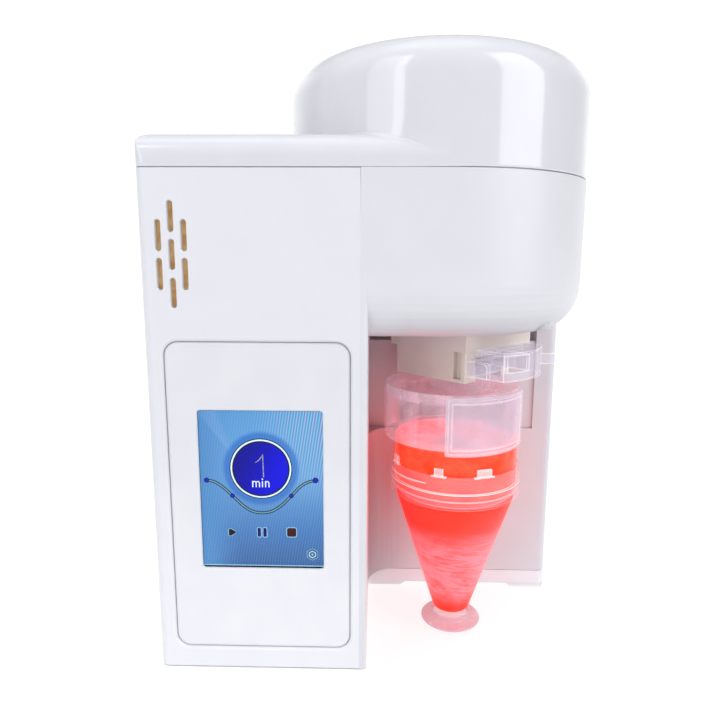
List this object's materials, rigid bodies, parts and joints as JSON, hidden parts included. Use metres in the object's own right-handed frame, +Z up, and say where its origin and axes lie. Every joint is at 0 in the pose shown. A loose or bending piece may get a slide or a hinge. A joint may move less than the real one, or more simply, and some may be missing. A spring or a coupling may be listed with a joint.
{
  "type": "vortex mixer",
  "caption": "Bench vortex mixer: display column and round drive head over an open bay, where a conical sample cup hangs from an orbiting carrier.",
  "frame": {"origin": "middle of the footprint, on the table", "axes": "+Z up, +X to the right seen from the display side, +Y to the back"},
  "size_m": [0.195, 0.141, 0.278],
  "materials": {
    "housing_white": "satin moulded ABS with a fine spark texture",
    "panel_white": "smooth satin moulded ABS",
    "cover_gloss": "polished moulded ABS",
    "tray_grey": "moulded ABS",
    "rubber_dark": "soft rubber",
    "screw_steel": "zinc plated steel",
    "bezel_white": "printed acrylic",
    "screen_glass": "lit touch screen behind cover glass",
    "lcd_metal": "pressed frame",
    "board_green": "solder resist",
    "cable_grey": "PVC sheath",
    "ribbon_grey": "flat cable",
    "cloth_ochre": "woven speaker cloth",
    "speaker_black": "moulded basket and paper cone",
    "magnet_grey": "plated ferrite",
    "socket_black": "moulded nylon",
    "deck_alu": "machined plate",
    "motor_steel": "plated can",
    "copper": "laminations with copper windings",
    "bearing_steel": "ground steel",
    "brass": "machined brass",
    "crank_violet": "anodised",
    "carrier_cream": "machined acetal",
    "clip_clear": "clear violet-tinted styrene",
    "cap_clear": "milky clear polypropylene",
    "cup_clear": "milky clear polypropylene tinted by the liquid",
    "seal_white": "silicone",
    "liquid_red": "red-orange sample liquid"
  },
  "bodies": {
    "housing": {"main_housing": "housing_white", "front_panel": "panel_white", "top_cover": "cover_gloss", "base_tray": "tray_grey", "rubber_feet": "rubber_dark", "base_screws": "screw_steel", "cover_screws": "screw_steel", "front_screws": "screw_steel", "panel_bezel": "bezel_white", "touch_glass": "screen_glass", "lcd_module": "lcd_metal", "display_board": "board_green", "display_screws": "screw_steel", "control_board": "board_green", "board_screws": "screw_steel", "ribbon_cable": "ribbon_grey", "motor_cable": "cable_grey", "speaker_cloth": "cloth_ochre", "speaker_frame": "speaker_black", "speaker_cone": "speaker_black", "speaker_magnet": "magnet_grey", "power_inlet": "socket_black", "switch_body": "socket_black", "power_leads": "cable_grey", "motor_deck": "deck_alu", "deck_screws": "screw_steel", "motor_can": "motor_steel", "motor_stator": "copper", "motor_bearings": "bearing_steel", "motor_screws": "screw_steel", "deck_bearings": "bearing_steel"},
    "rotor": {"motor_rotor": "motor_steel", "motor_shaft": "bearing_steel", "eccentric_hub": "brass", "hub_setscrew": "screw_steel"},
    "idler_left": {"idler_crank_left": "crank_violet"},
    "idler_right": {"idler_crank_right": "crank_violet"},
    "orbiter": {"orbit_plate": "deck_alu", "plate_bearing": "bearing_steel", "idler_bearings": "bearing_steel", "carrier_block": "carrier_cream", "carrier_screws": "screw_steel"},
    "cup_top": {"slide_clip": "clip_clear", "cup_cap": "cap_clear", "label_plate": "cap_clear", "cup_neck": "cup_clear"},
    "cup": {"cup_vessel": "cup_clear", "cup_gasket": "seal_white", "cup_liquid": "liquid_red"},
    "rocker": {"switch_rocker": "socket_black"}
  },
  "joints": [
    {"name": "rotor_spin", "type": "hinge", "parent": "housing", "child": "rotor", "pos_m": [0.027, 0, 0.18], "axis": [0, 0, 1], "continuous": true},
    {"name": "plate_orbit", "type": "hinge", "parent": "rotor", "child": "orbiter", "pos_m": [0.02806, -0.00106, 0.168], "axis": [0, 0, 1], "continuous": true},
    {"name": "idler_left_spin", "type": "hinge", "parent": "housing", "child": "idler_left", "pos_m": [0.00154, 0, 0.187], "axis": [0, 0, 1], "continuous": true},
    {"name": "idler_right_spin", "type": "hinge", "parent": "housing", "child": "idler_right", "pos_m": [0.027, 0.02546, 0.187], "axis": [0, 0, 1], "continuous": true},
    {"name": "cup_slide", "type": "slide", "parent": "orbiter", "child": "cup_top", "axis": [0.7071, -0.7071, 0], "range_m": [0, 0.045]},
    {"name": "cup_unscrew", "type": "hinge", "parent": "cup_top", "child": "cup", "pos_m": [0.0383, -0.0171, 0.08], "axis": [0, 0, 1], "range_deg": [-90, 0]},
    {"name": "power_rocker", "type": "hinge", "parent": "housing", "child": "rocker", "pos_m": [-0.0375, 0.0655, 0.037], "axis": [1, 0, 0], "range_deg": [-20, 0]}
  ],
  "couplings": [
    {"joint": "plate_orbit", "follows": "rotor_spin", "ratio": -1},
    {"joint": "idler_left_spin", "follows": "rotor_spin", "ratio": 1},
    {"joint": "idler_right_spin", "follows": "rotor_spin", "ratio": 1}
  ]
}
